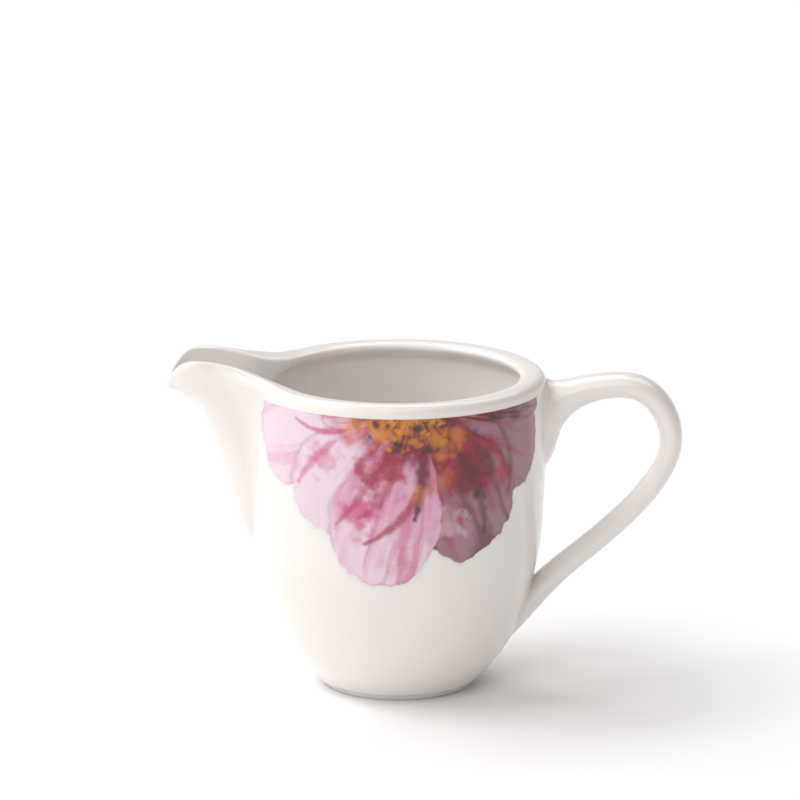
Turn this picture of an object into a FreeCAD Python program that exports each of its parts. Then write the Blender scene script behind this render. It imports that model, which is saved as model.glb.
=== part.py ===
"""Porcelain cream jug: thrown vessel, applied spout and strap handle, foot ring
and an on-glaze flower transfer, as a parametric FreeCAD 1.1 document.

Millimetres, +Z up.  The jug stands on Z = 0.  The spout points along -X and the
handle along +X; the shapes are drawn about the vessel's own axis and the finished
pieces are then shifted along X, so that the jug's length is centred on the origin.
"""
import FreeCAD, Part
import math
import os

import Sketcher
from FreeCAD import Vector

DOC = FreeCAD.newDocument("cream_jug")

# ---------------------------------------------------------------- driving sizes

SIZES = (
    ("rim_height", 87.5),
    ("rim_radius", 40.4),
    ("rim_round", 2.4),
    ("lip_radius", 33.3),
    ("lip_drop", 1.3),
    ("lip_depth", 5.4),
    ("lip_tuck", 3.0),
    ("wall_thickness", 3.8),
    ("floor_height", 5.4),
    ("foot_height", 1.6),
    ("foot_outer", 20.7),
    ("foot_flare", 1.0),
    ("foot_inner", 17.0),
    ("foot_round", 0.5),
    ("slip_thickness", 0.5),
    ("transfer_thickness", 0.12),
    ("plain_band", 3.4),
    ("spout_root", 33.0),
    ("channel_root", 25.0),
    ("spout_squareness", 2.5),
    ("handle_squareness", 2.3),
    ("handle_split", 38.0),
    ("axis_offset", -7.04),
)

# Outer wall, from the foot to where the rim starts to turn over: (height, radius).
WALL_STATIONS = (
    (1.6, 22.3),
    (6.8, 26.9),
    (13.5, 31.3),
    (23.7, 35.3),
    (35.5, 38.5),
    (50.7, 40.1),
    (67.0, 40.6),
)

# Inside of the bowl, below the wall: (height above the floor's middle, radius).
BOWL_STATIONS = (
    (8.1, 26.4),
    (2.7, 19.5),
    (0.5, 11.0),
    (0.0, 0.0),
)

# Spout, outside: (height from the rim, reach from the axis, half width, root flare).
SPOUT_SECTIONS = (
    (-55.0, 36.0, 3.6, 0.0),
    (-50.8, 38.4, 5.0, 0.0),
    (-46.3, 41.2, 6.7, 0.2),
    (-41.8, 43.4, 8.5, 0.3),
    (-35.0, 45.6, 10.0, 0.3),
    (-28.0, 47.5, 10.0, 0.4),
    (-21.0, 49.2, 9.9, 0.6),
    (-14.8, 51.6, 10.0, 0.9),
    (-10.3, 53.7, 10.1, 1.4),
    (-8.0, 56.0, 10.3, 1.8),
    (-5.8, 60.2, 10.9, 2.5),
    (-3.9, 63.8, 11.3, 3.2),
    (-1.4, 65.9, 11.8, 4.6),
    (1.6, 67.4, 12.2, 5.8),
    (4.1, 69.6, 12.4, 6.6),
    (7.0, 72.0, 12.6, 6.6),
)

# Channel inside the spout, in the same terms.
CHANNEL_SECTIONS = (
    (-52.0, 31.5, 3.0, 0.0),
    (-46.0, 37.0, 4.2, 0.1),
    (-41.8, 39.8, 5.8, 0.2),
    (-35.0, 42.2, 7.2, 0.3),
    (-28.0, 44.2, 7.2, 0.4),
    (-21.0, 46.0, 7.1, 0.6),
    (-14.8, 48.0, 7.2, 0.8),
    (-10.0, 49.9, 7.3, 1.1),
    (-7.0, 52.0, 7.6, 1.5),
    (-4.8, 55.4, 8.0, 2.0),
    (-3.0, 59.2, 8.4, 2.6),
    (-1.4, 61.8, 8.8, 3.1),
    (1.6, 64.4, 9.2, 3.6),
    (4.1, 66.8, 9.4, 3.8),
    (7.0, 69.4, 9.6, 3.8),
)

# Pouring edge seen from the side: (distance from the axis, height from the rim).
POURING_EDGE = (
    (31.0, -0.6),
    (33.4, 0.3),
    (38.4, 2.2),
    (42.5, 3.2),
    (48.4, 4.6),
    (53.0, 5.3),
    (56.2, 5.2),
    (59.2, 3.9),
    (61.4, 1.6),
    (63.0, -1.4),
    (64.1, -5.0),
)

# Handle: (distance from the axis, height from the rim, heading in degrees,
# half thickness, half width).
HANDLE_SECTIONS = (
    (36.0, -14.6, 0.0, 12.6, 8.2),
    (40.4, -14.2, 0.0, 12.0, 7.8),
    (42.4, -12.6, 1.0, 10.0, 7.2),
    (44.3, -9.2, 4.0, 6.6, 6.7),
    (46.9, -7.1, 8.0, 4.8, 6.3),
    (50.3, -5.5, 9.0, 4.0, 6.0),
    (55.0, -4.3, 6.0, 3.5, 5.9),
    (60.5, -3.8, -4.0, 3.4, 5.8),
    (66.4, -4.9, -27.0, 3.4, 5.8),
    (71.5, -9.3, -57.0, 3.4, 5.8),
    (74.5, -16.5, -86.0, 3.3, 5.8),
    (73.9, -23.6, -107.0, 3.1, 5.8),
    (70.7, -30.1, -124.0, 3.0, 5.8),
    (64.9, -37.5, -136.0, 2.95, 5.8),
    (58.9, -43.4, -138.0, 2.95, 5.8),
    (53.4, -48.3, -139.0, 2.95, 5.8),
    (48.1, -52.6, -138.0, 3.0, 5.9),
    (44.1, -56.1, -135.0, 3.1, 6.1),
    (40.6, -59.4, -133.0, 3.25, 6.4),
    (37.1, -63.0, -133.0, 3.45, 6.8),
    (33.6, -66.6, -133.0, 3.7, 7.2),
    (30.1, -70.2, -133.0, 3.9, 7.6),
    (25.7, -74.8, -133.0, 3.9, 7.8),
)

# Petals of the transfer, seen from the front:
# (x, height from the rim, half width, half height, turn in degrees).
PETALS = (
    (-24.5, -15.6, 12.0, 13.2, 30.0),
    (-9.5, -29.5, 13.5, 19.0, -8.0),
    (2.0, -15.0, 17.0, 12.0, 0.0),
    (18.5, -24.0, 15.0, 17.6, 12.0),
    (25.5, -16.5, 11.5, 14.0, -10.0),
)

WALL_REACH = 36.0       # where the spout's flare is widest, from the axis
SPOUT_FADE = 6.0        # run over which the flare dies away, outside
CHANNEL_FADE = 10.0     # and inside

SHEET = DOC.addObject("Spreadsheet::Sheet", "Sizes")
for row, (alias, value) in enumerate(SIZES, start=1):
    SHEET.set(f"A{row}", alias)
    SHEET.set(f"B{row}", str(value))
    SHEET.setAlias(f"B{row}", alias)
DOC.recompute()


def size(alias):
    """A driving size, read from the sheet."""
    return float(SHEET.get(alias))


# ------------------------------------------------------------- small geometry


def spline(points, start=None, end=None):
    """A smooth edge through points, with end tangents where both are given."""
    curve = Part.BSplineCurve()
    if start is None:
        curve.interpolate(Points=points)
    else:
        curve.interpolate(Points=points, InitialTangent=start, FinalTangent=end)
    return curve.toShape()


def line(start, end):
    return Part.LineSegment(start, end).toShape()


def at(radius, height):
    """A point of a profile, in the plane that holds the vessel's axis."""
    return Vector(radius, 0.0, height)


def feature(name, shape):
    """A helper shape of the document."""
    helper = DOC.addObject("Part::Feature", name)
    helper.Shape = shape
    return helper


def boolean(kind, name, base, tool):
    """A Part::Cut or Part::Common of two document objects."""
    result = DOC.addObject(kind, name)
    result.Base = base
    result.Tool = tool
    return result


def sub_part(item, label):
    """Name a finished piece and shift it with the vessel's axis."""
    item.Label = label
    item.setExpression("Placement.Base.x", "Sizes.axis_offset")
    return item


def revolved(name, edges):
    """A full turn about the axis of the face that the edges enclose."""
    face = feature(name + "_profile", Part.Face(Part.Wire(Part.__sortEdges__(edges))))
    turned = DOC.addObject("Part::Revolution", name)
    turned.Source = face
    turned.Axis = Vector(0, 0, 1)
    turned.Base = Vector(0, 0, 0)
    turned.Angle = 360
    turned.Solid = True
    return turned


# -------------------------------------------------------------------- profiles


def outer_edges(grow):
    """Outer wall and the rounded shoulder of the rim, moved out by grow."""
    shoulder = size("rim_height") - size("rim_round")
    radius = size("rim_radius")
    turn = size("rim_round")
    points = [at(r + grow, z) for z, r in WALL_STATIONS]
    points.append(at(radius + grow, shoulder))
    wall = spline(points, Vector(0.8, 0, 1), Vector(0, 0, 1))
    middle = math.sqrt(0.5) * (turn + grow)
    centre = radius - turn
    arc = Part.Arc(
        at(radius + grow, shoulder),
        at(centre + middle, shoulder + middle),
        at(centre, shoulder + turn + grow),
    ).toShape()
    return [wall, arc]


def lip_edge():
    """Broad top of the rolled rim, over its inner edge and back under it."""
    top = size("rim_height")
    inner = size("lip_radius")
    drop = size("lip_drop")
    tuck = size("lip_tuck")
    depth = size("lip_depth")
    start = at(size("rim_radius") - size("rim_round"), top)
    end = at(inner + tuck, top - depth)
    points = [
        start,
        at(inner + 0.73 * tuck, top - 0.19 * drop),
        at(inner + 0.17 * tuck, top - 0.62 * drop),
        at(inner, top - 1.3 * drop),
        at(inner + 0.3 * tuck, top - 0.55 * depth),
        end,
    ]
    return spline(points, Vector(-1, 0, 0), Vector(0.35, 0, -1))


def inner_edge():
    """Inside of the wall, from under the rim to the middle of the floor."""
    thick = size("wall_thickness")
    floor = size("floor_height")
    tucked = size("lip_radius") + size("lip_tuck")
    start = at(tucked, size("rim_height") - size("lip_depth"))
    wall = [at(r - thick, z) for z, r in reversed(WALL_STATIONS[3:])]
    bowl = [at(r, floor + rise) for rise, r in BOWL_STATIONS]
    return spline([start] + wall + bowl, Vector(0.35, 0, -1), Vector(-1, 0, 0))


def vessel_blank():
    """Wall, floor and rolled rim as one turned shape."""
    foot = size("foot_height")
    first = WALL_STATIONS[0]
    edges = outer_edges(0.0) + [lip_edge(), inner_edge()]
    edges.append(line(at(0, size("floor_height")), at(0, foot)))
    edges.append(line(at(0, foot), at(first[1], first[0])))
    return revolved("vessel_blank", edges)


def envelope(name, grow):
    """The vessel's outline as a solid core, moved out by grow."""
    foot = size("foot_height")
    top = size("rim_height") + grow
    edges = outer_edges(grow)
    edges.append(line(at(size("rim_radius") - size("rim_round"), top), at(0, top)))
    edges.append(line(at(0, top), at(0, foot)))
    edges.append(line(at(0, foot), at(WALL_STATIONS[0][1] + grow, foot)))
    return revolved(name, edges)


# ----------------------------------------------------------------------- spout


def nose_wire(height, reach, half_width, flare, root, fade):
    """Level outline of the spout: a blunt nose on a root that flares out."""
    power = size("spout_squareness")
    straight = 3.0
    base = root - straight
    steps = (0.0, 0.1, 0.2, 0.32, 0.45, 0.6, 0.74, 0.87, 0.95, 1.0)
    side = []
    for step in steps:
        x = root + (reach - root) * math.sin(0.5 * math.pi * step)
        along = (x - base) / (reach - base)
        nose = (1.0 - min(along, 1.0) ** power) ** (1.0 / power)
        spread = flare * math.exp((WALL_REACH - x) / fade) * nose ** 0.5
        side.append((x, half_width * nose + spread))
    z = size("rim_height") + height
    near = [Vector(-x, -y, z) for x, y in side]
    far = [Vector(-x, y, z) for x, y in reversed(side[:-1])]
    return Part.Wire([spline(near + far), line(far[-1], near[0])])


def loft(name, wires):
    """A solid skinned through level or leaning closed wires."""
    sections = [feature(f"{name}_section_{n}", wire) for n, wire in enumerate(wires, 1)]
    skin = DOC.addObject("Part::Loft", name)
    skin.Sections = sections
    skin.Solid = True
    skin.Ruled = False
    return skin


def under_pouring_edge():
    """Everything that lies below the pouring edge, as a slab across the spout."""
    rim = size("rim_height")
    half = size("rim_radius")
    margin = 2.0
    behind = -22.0
    low = rim - 70.0
    points = [Vector(-x, -half, rim + z) for x, z in POURING_EDGE]
    corner_out = Vector(points[-1].x - margin, -half, points[-1].z)
    deep_out = Vector(corner_out.x, -half, low)
    deep_in = Vector(behind, -half, low)
    corner_in = Vector(behind, -half, points[0].z)
    wire = Part.Wire([
        spline(points),
        line(points[-1], corner_out),
        line(corner_out, deep_out),
        line(deep_out, deep_in),
        line(deep_in, corner_in),
        line(corner_in, points[0]),
    ])
    slab = DOC.addObject("Part::Extrusion", "under_pouring_edge")
    slab.Base = feature("pouring_edge_side", Part.Face(wire))
    slab.Dir = Vector(0, 1, 0)
    slab.DirMode = "Custom"
    slab.LengthFwd = 2.0 * half
    return slab


def spout_blank(channel):
    """The open spout before it is fitted to the vessel."""
    root = size("spout_root")
    outside = loft("spout_outside", [nose_wire(*s, root, SPOUT_FADE) for s in SPOUT_SECTIONS])
    trimmed = boolean("Part::Common", "spout_trimmed", outside, under_pouring_edge())
    return boolean("Part::Cut", "spout_blank", trimmed, channel)


# ---------------------------------------------------------------------- handle


def strap_wire(x, height, heading, half_thick, half_wide):
    """Cross-section of the handle: a softened oval square to its heading."""
    power = 2.0 / size("handle_squareness")
    turn = math.radians(heading)
    centre = Vector(x, 0, size("rim_height") + height)
    across = Vector(-math.sin(turn), 0, math.cos(turn))
    points = []
    count = 24
    for step in range(count):
        angle = 2.0 * math.pi * step / count
        c = math.cos(angle)
        s = math.sin(angle)
        thick = half_thick * math.copysign(abs(c) ** power, c)
        wide = half_wide * math.copysign(abs(s) ** power, s)
        points.append(centre + across * thick + Vector(0, wide, 0))
    curve = Part.BSplineCurve()
    curve.interpolate(Points=points, PeriodicFlag=True)
    return Part.Wire(curve.toShape())


# -------------------------------------------------------------- flower transfer


def petal_prism(x, height, half_wide, half_high, turn):
    """One petal's outline, pushed through the front of the vessel."""
    near = -60.0
    major = max(half_wide, half_high)
    minor = min(half_wide, half_high)
    outline = Part.Ellipse(Vector(0, 0, 0), major, minor).toShape()
    upright = 90.0 if half_high > half_wide else 0.0
    outline.rotate(Vector(0, 0, 0), Vector(0, 0, 1), upright + turn)
    outline.rotate(Vector(0, 0, 0), Vector(1, 0, 0), 90)
    outline.translate(Vector(x, near, size("rim_height") + height))
    return Part.Face(Part.Wire(outline)).extrude(Vector(0, -near, 0))


def flower_prism():
    """All petals together, trimmed to leave a plain band under the rim."""
    first, *rest = [petal_prism(*petal) for petal in PETALS]
    whole = first.fuse(rest).removeSplitter()
    half = 60.0
    painted = size("rim_height") - size("plain_band")
    keep = Part.makeBox(2 * half, half, painted, Vector(-half, -half, 0))
    return feature("flower_prism", whole.common(keep))


# ------------------------------------------------------------------- foot ring


def foot_ring():
    """Unglazed standing ring, turned from a constrained sketch."""
    body = DOC.addObject("PartDesign::Body", "foot_ring")
    sketch = body.newObject("Sketcher::SketchObject", "foot_ring_profile")
    plane = [f for f in body.Origin.OriginFeatures if f.Role == "XZ_Plane"][0]
    sketch.AttachmentSupport = [(plane, "")]
    sketch.MapMode = "FlatFace"
    inner = size("foot_inner")
    outer = size("foot_outer")
    high = size("foot_height")
    flare = size("foot_flare")
    corners = [
        Vector(inner, 0, 0),
        Vector(outer, 0, 0),
        Vector(outer + flare, high, 0),
        Vector(inner, high, 0),
    ]
    for n in range(4):
        sketch.addGeometry(Part.LineSegment(corners[n], corners[(n + 1) % 4]), False)
    for n in range(4):
        sketch.addConstraint(Sketcher.Constraint("Coincident", n, 2, (n + 1) % 4, 1))
    sketch.addConstraint(Sketcher.Constraint("Horizontal", 0))
    sketch.addConstraint(Sketcher.Constraint("Horizontal", 2))
    sketch.addConstraint(Sketcher.Constraint("Vertical", 3))
    sketch.addConstraint(Sketcher.Constraint("PointOnObject", 0, 1, -1))
    named = (
        ("DistanceX", (-1, 1, 0, 1), inner, "Sizes.foot_inner"),
        ("DistanceX", (-1, 1, 0, 2), outer, "Sizes.foot_outer"),
        ("DistanceX", (0, 2, 1, 2), flare, "Sizes.foot_flare"),
        ("DistanceY", (0, 2, 1, 2), high, "Sizes.foot_height"),
    )
    for kind, ends, value, source in named:
        index = sketch.addConstraint(Sketcher.Constraint(kind, *ends, value))
        sketch.setExpression(f"Constraints[{index}]", source)
    turned = body.newObject("PartDesign::Revolution", "foot_ring_turned")
    turned.Profile = sketch
    turned.ReferenceAxis = (sketch, ["V_Axis"])
    turned.Angle = 360
    DOC.recompute()
    low = [
        f"Edge{n}"
        for n, edge in enumerate(turned.Shape.Edges, 1)
        if edge.BoundBox.ZMax < 0.01 and edge.Closed
    ]
    rounded = body.newObject("PartDesign::Fillet", "foot_ring_rounded")
    rounded.Base = (turned, low)
    rounded.setExpression("Radius", "Sizes.foot_round")
    return body


# -------------------------------------------------------------------- assembly


def half_space(name, above):
    """A block that holds either the upper or the lower end of the handle."""
    reach = 100.0
    half = 30.0
    high = 60.0
    block = DOC.addObject("Part::Box", name)
    block.Length = reach
    block.Width = 2 * half
    block.Height = high
    split = size("rim_height") - size("handle_split")
    block.Placement.Base = Vector(0, -half, split if above else split - high)
    return block


def build():
    """Make every sub-part and return them."""
    core = envelope("core", 0.0)
    slip_core = envelope("slip_core", size("slip_thickness"))
    print_core = envelope("print_core", size("transfer_thickness"))
    slip_layer = boolean("Part::Cut", "slip_layer", slip_core, core)
    print_layer = boolean("Part::Cut", "print_layer", print_core, core)

    root = size("channel_root")
    channel = loft("channel", [nose_wire(*s, root, CHANNEL_FADE) for s in CHANNEL_SECTIONS])
    spout = spout_blank(channel)
    handle = loft("handle_blank", [strap_wire(*s) for s in HANDLE_SECTIONS])
    handle_slip = boolean("Part::Common", "handle_slip", handle, slip_layer)

    pieces = [
        (boolean("Part::Cut", "vessel", vessel_blank(), channel), "body"),
        (foot_ring(), "foot_ring"),
        (boolean("Part::Cut", "spout_fitted", spout, slip_core), "spout"),
        (boolean("Part::Common", "spout_slip", spout, slip_layer), "spout_slip_joint"),
        (boolean("Part::Cut", "handle_fitted", handle, slip_core), "handle"),
        (
            boolean("Part::Common", "upper_slip", handle_slip, half_space("upper", True)),
            "upper_handle_slip_joint",
        ),
        (
            boolean("Part::Common", "lower_slip", handle_slip, half_space("lower", False)),
            "lower_handle_slip_joint",
        ),
        (
            boolean("Part::Common", "transfer", flower_prism(), print_layer),
            "flower_transfer",
        ),
    ]
    for item, label in pieces:
        sub_part(item, label)
    DOC.recompute()
    return [item for item, _ in pieces]


def check(parts):
    """Stop before writing anything if an object failed or a piece is not sound."""
    for item in DOC.Objects:
        if "Invalid" in item.State or "Error" in item.State:
            raise RuntimeError(f"{item.Name} failed: {item.State}")
    for item in parts:
        shape = item.Shape
        if shape.isNull() or not shape.isValid() or len(shape.Solids) != 1:
            raise RuntimeError(f"{item.Label} is not one valid solid: {len(shape.Solids)}")


def write(parts):
    os.makedirs("parts", exist_ok=True)
    for item in parts:
        item.Shape.exportStep(f"parts/{item.Label}.step")
        box = item.Shape.BoundBox
        print(
            f"{item.Label}: {item.Shape.Volume:.0f} mm3, "
            f"x {box.XMin:.1f}..{box.XMax:.1f}, y {box.YMin:.1f}..{box.YMax:.1f}, "
            f"z {box.ZMin:.1f}..{box.ZMax:.1f}"
        )


PARTS = build()
check(PARTS)
write(PARTS)
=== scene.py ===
"""Glazed porcelain cream jug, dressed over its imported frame.

The vessel is spun from one profile and its front is then drawn out into the spout, so
wall, rim and spout share one flowing skin.  Lengths inside the shaping functions are
millimetres, measured from the vessel's own axis; meshes are written out in metres.
"""
import math

import bmesh
import bpy
import numpy as np
from mathutils import Matrix, Vector, noise


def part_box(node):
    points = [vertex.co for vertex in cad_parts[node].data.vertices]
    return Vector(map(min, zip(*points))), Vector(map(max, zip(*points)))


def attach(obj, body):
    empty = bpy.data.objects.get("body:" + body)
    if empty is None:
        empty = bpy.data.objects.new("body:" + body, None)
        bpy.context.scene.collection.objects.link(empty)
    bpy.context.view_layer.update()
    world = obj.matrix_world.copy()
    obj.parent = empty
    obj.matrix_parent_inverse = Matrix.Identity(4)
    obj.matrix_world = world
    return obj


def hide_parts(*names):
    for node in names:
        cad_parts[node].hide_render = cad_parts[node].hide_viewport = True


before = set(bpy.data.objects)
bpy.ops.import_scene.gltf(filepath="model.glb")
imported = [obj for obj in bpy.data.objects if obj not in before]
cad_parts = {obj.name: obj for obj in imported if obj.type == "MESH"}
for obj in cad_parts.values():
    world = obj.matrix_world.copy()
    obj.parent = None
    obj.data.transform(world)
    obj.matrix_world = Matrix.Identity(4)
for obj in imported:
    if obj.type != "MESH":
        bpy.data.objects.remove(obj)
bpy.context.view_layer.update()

bl_info = {
    "name": "Porcelain Cream Jug",
    "version": (1, 0, 0),
    "blender": (4, 5, 0),
    "location": "View3D > Sidebar > Jug",
    "description": "Builds the glazed cream jug, its painted blossom and its studio",
    "category": "Add Mesh",
}

MM = 0.001
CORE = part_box("body")[1] / MM
AXIS_X = CORE.x - CORE.y    # the wall's far side less its radius
RIM = CORE.z

# ------------------------------------------------------------------ potter's sizes

RIM_RADIUS = 40.4
SHOULDER = 2.4          # rounding of the rim's outer edge
# Outer wall: (height, radius), from the foot to the shoulder of the rim.
WALL = (
    (1.6, 22.3),
    (6.8, 26.9),
    (13.5, 31.3),
    (23.7, 35.3),
    (35.5, 38.5),
    (50.7, 40.1),
    (67.0, 40.6),
    (RIM - SHOULDER, RIM_RADIUS),
)
WALL_THICK = 3.8
LIP_RADIUS = 33.3
LIP_TUCK = 5.4          # depth at which the rim's underside meets the wall
LIP_CURL = 1.7          # drop of the rim's inner edge
LIP_OVERHANG = 3.0      # how far the rim's inner edge stands in from the wall under it
NECK_START = 72.0       # above this height the wall changes to its thickness there
NECK_DEPTH = 9.0
LIP_FULLNESS = 0.78     # under 1 fills out the rim's rounding
EDGE_BLEND = 12         # the wall turns to the pouring edge only near its top
EDGE_LEVELS = (-8.0, 7.0)   # the pouring edge lies between these, from the rim
EDGE_HALVINGS = 30
EDGE_PROBE = 0.2        # the edge's slope is taken this far to either side
# Inside of the bowl: (height, radius), from the wall to the middle of the floor.
BOWL = ((13.5, 26.4), (8.1, 19.5), (5.9, 11.0), (5.4, 0.0))
BOWL_TURN = 26.0        # below this height the wall thickens into the bowl
BOWL_TURN_DEPTH = 13.0

# Spout, all as (height from the rim, size).
NOSE_REACH = (
    (-60.0, 30.5), (-55.0, 36.0), (-50.8, 38.4), (-46.3, 41.2), (-41.8, 43.4),
    (-35.0, 45.6), (-28.0, 47.5), (-21.0, 49.2), (-14.8, 51.5), (-10.3, 53.7),
    (-8.0, 56.0), (-5.8, 60.2), (-3.9, 63.8), (-1.4, 65.9), (1.6, 67.4),
    (4.1, 69.6), (8.0, 72.6),
)
NOSE_HALF_WIDTH = (
    (-60.0, 3.0), (-50.8, 5.0), (-46.3, 6.7), (-41.8, 8.5), (-35.0, 10.0),
    (-21.0, 9.9), (-10.3, 10.1), (-5.8, 10.8), (-1.4, 11.7), (4.1, 12.3), (8.0, 12.5),
)
NOSE_FILLET = (
    (-60.0, 0.8), (-40.0, 0.9), (-28.0, 1.3), (-20.0, 2.4), (-12.0, 4.0),
    (-8.0, 5.6), (-3.0, 8.6), (0.0, 10.8), (8.0, 12.0),
)
CHANNEL_REACH = (
    (-60.0, 23.0), (-52.0, 31.5), (-46.0, 37.0), (-41.8, 39.8), (-35.0, 42.2),
    (-28.0, 44.2), (-21.0, 46.0), (-14.8, 48.0), (-10.0, 49.9), (-7.0, 52.0),
    (-4.8, 55.4), (-3.0, 59.2), (-1.4, 61.8), (1.6, 64.4), (4.1, 66.8), (8.0, 70.0),
)
CHANNEL_HALF_WIDTH = (
    (-60.0, 2.5), (-46.0, 4.2), (-41.8, 5.8), (-35.0, 7.2), (-21.0, 7.1),
    (-10.0, 7.3), (-4.8, 8.0), (-1.4, 8.8), (4.1, 9.5), (8.0, 9.8),
)
CHANNEL_FILLET = ((-60.0, 4.0), (-30.0, 4.0), (-10.0, 5.0), (-3.0, 7.0), (0.0, 9.0), (8.0, 9.0))
LIP_FILLET = ((-60.0, 9.0), (-6.0, 9.0), (8.0, 9.0))
# Half width of the seam that parts spout from vessel.
SEAM = (
    (-90.0, 9.0), (-66.0, 8.0), (-56.0, 4.4), (-52.0, 3.0), (-50.0, 3.3), (-46.0, 4.8),
    (-41.8, 6.6), (-37.0, 8.5), (-28.0, 9.2), (-15.0, 9.8), (-8.0, 11.0), (-3.0, 13.4),
    (0.0, 15.0), (8.0, 15.6),
)
# Pouring edge from the side: (distance from the axis, height from the rim).
POURING_EDGE = (
    (20.0, 0.0), (26.0, 0.0), (30.0, 0.1), (33.4, 0.6), (38.4, 2.2), (42.5, 3.3),
    (48.4, 4.6), (53.0, 5.3), (56.2, 5.2), (59.2, 3.9), (61.4, 1.6), (63.0, -1.4),
    (64.1, -5.0),
)
NOSE_BASE = 30.0        # the nose starts this far out from the axis
CHANNEL_BASE = 21.0
SEAM_INSIDE = 0.86      # the seam's width inside the wall, as a share of its outside
SPOUT_FOOT = -52.0      # where the spout starts to leave the wall
SPOUT_TOP = 8.0         # above the highest point of the pouring edge
OUTSIDE_LOW = -86.0     # lowest levels of the outside, the lip and the inside
LIP_LOW = -12.0
INSIDE_LOW = -74.0
SPOUT_SQUARENESS = 2.5
NEAREST = 0.9           # the spout is worked out from this share of the wall's radius
WIDEST = 46.0           # and this far outwards from there
NOT_NEAR = 9.0          # stands for the nose's distance below its lowest station

# Columns of the vessel's mesh, counted one way round from the spout's tip.
HALF_TURN = 160
SEAM_COLUMN = 44
SECTOR_COLUMN = 64
SEAM_CROWDING = 1.35    # draws the columns beside the seam closer together
SECTOR = math.radians(36.5)
RAYS = 420              # rays that feel for the spout's outline within the sector
RAY_HALVINGS = 34
SPECK = 1e-9            # keeps a division clear of zero
MERGE = 1e-4            # corners closer than this become one
CREASE = 0.9            # edges that turn further than this, in radians, stay sharp

# Handle: distance from the axis, height from the rim, heading, half thickness and
# half width, as the frame has them.
HANDLE = (
    (36.0, -14.6, 0.0, 12.6, 8.2),
    (40.4, -14.2, 0.0, 12.0, 7.8),
    (42.4, -12.6, 1.0, 10.0, 7.2),
    (44.3, -9.2, 4.0, 6.6, 6.7),
    (46.9, -7.1, 8.0, 4.8, 6.3),
    (50.3, -5.5, 9.0, 4.0, 6.0),
    (55.0, -4.3, 6.0, 3.5, 5.9),
    (60.5, -3.8, -4.0, 3.4, 5.8),
    (66.4, -4.9, -27.0, 3.4, 5.8),
    (71.5, -9.3, -57.0, 3.4, 5.8),
    (74.5, -16.5, -86.0, 3.3, 5.8),
    (73.9, -23.6, -107.0, 3.1, 5.8),
    (70.7, -30.1, -124.0, 3.0, 5.8),
    (64.9, -37.5, -136.0, 2.95, 5.8),
    (58.9, -43.4, -138.0, 2.95, 5.8),
    (53.4, -48.3, -139.0, 2.95, 5.8),
    (48.1, -52.6, -138.0, 3.0, 5.9),
    (44.1, -56.1, -135.0, 3.1, 6.1),
    (40.6, -59.4, -133.0, 3.25, 6.4),
    (37.1, -63.0, -133.0, 3.45, 6.8),
    (33.6, -66.6, -133.0, 3.7, 7.2),
    (30.1, -70.2, -133.0, 3.9, 7.6),
    (25.7, -74.8, -133.0, 3.9, 7.8),
)
HANDLE_SQUARENESS = 2.3
HANDLE_SIDES = 72
HANDLE_RINGS = 150
HANDLE_SINK = -0.15     # the handle stops just short of the wall, inside its slip
HANDLE_HALVINGS = 40
SLIP_SINK = 0.35        # how far each slip joint bites into wall and handle
SLIP_RINGS = 9
SLIP_PROBE = 0.3        # the handle's direction at the wall is taken over this length

# Standing ring.
RING_INSIDE = 17.0
RING_FLARE = 1.0
RING_BELLY = 0.55       # share of the flare reached half way down
RING_WEAR = 0.45
RING_WEAR_STEPS = 4
RING_SIDES = 192
RING_UNDERSIDE = 0.5    # corners below this height are on the standing face
RING_CORNER = 0.5       # edges there that turn further than this, in radians, are worn

FILM_SINK = 0.05        # the painted film bites this far into the glaze


# ------------------------------------------------------------------- fair curves


def fair_curve(stations):
    """Natural cubic spline through (place, value, ...) stations."""
    table = np.array(stations, float)
    place, value = table[:, 0], table[:, 1:]
    gap = np.diff(place)
    count = len(place)
    system = np.eye(count)
    right = np.zeros_like(value)
    for i in range(1, count - 1):
        system[i, i - 1:i + 2] = gap[i - 1], 2 * (gap[i - 1] + gap[i]), gap[i]
        rise = (value[i + 1] - value[i]) / gap[i]
        run = (value[i] - value[i - 1]) / gap[i - 1]
        right[i] = 6 * (rise - run)
    bend = np.linalg.solve(system, right)

    def curve(at):
        at = np.clip(np.asarray(at, float), place[0], place[-1])
        i = np.clip(np.searchsorted(place, at) - 1, 0, count - 2)
        past = (at - place[i])[..., None]
        left = (place[i + 1] - at)[..., None]
        step = gap[i][..., None]
        arc = (bend[i] * left ** 3 + bend[i + 1] * past ** 3) / (6 * step)
        chord = (value[i] / step - bend[i] * step / 6) * left
        chord = chord + (value[i + 1] / step - bend[i + 1] * step / 6) * past
        result = arc + chord
        return result[..., 0] if value.shape[1] == 1 else result

    return curve


def path_curve(points):
    """Fair curve through points, by distance along them, and its length."""
    points = np.array(points, float)
    steps = np.linalg.norm(np.diff(points[:, :2], axis=0), axis=1)
    along = np.concatenate([[0.0], np.cumsum(steps)])
    return fair_curve(np.column_stack([along, points])), along[-1]


def ease(t):
    """Smooth step from 0 to 1."""
    t = np.clip(t, 0.0, 1.0)
    return t * t * (3 - 2 * t)


WALL_RADIUS = fair_curve(WALL)
EDGE = fair_curve(POURING_EDGE)


def outer_radius(height):
    """Radius of the plain vessel's outside, rounded shoulder included."""
    height = np.asarray(height, float)
    over = np.clip(height - (RIM - SHOULDER), 0.0, SHOULDER)
    rounded = RIM_RADIUS - SHOULDER + np.sqrt(SHOULDER ** 2 - over ** 2)
    return np.where(height > RIM - SHOULDER, rounded, WALL_RADIUS(height))


# -------------------------------------------------------------- spout and channel


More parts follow.
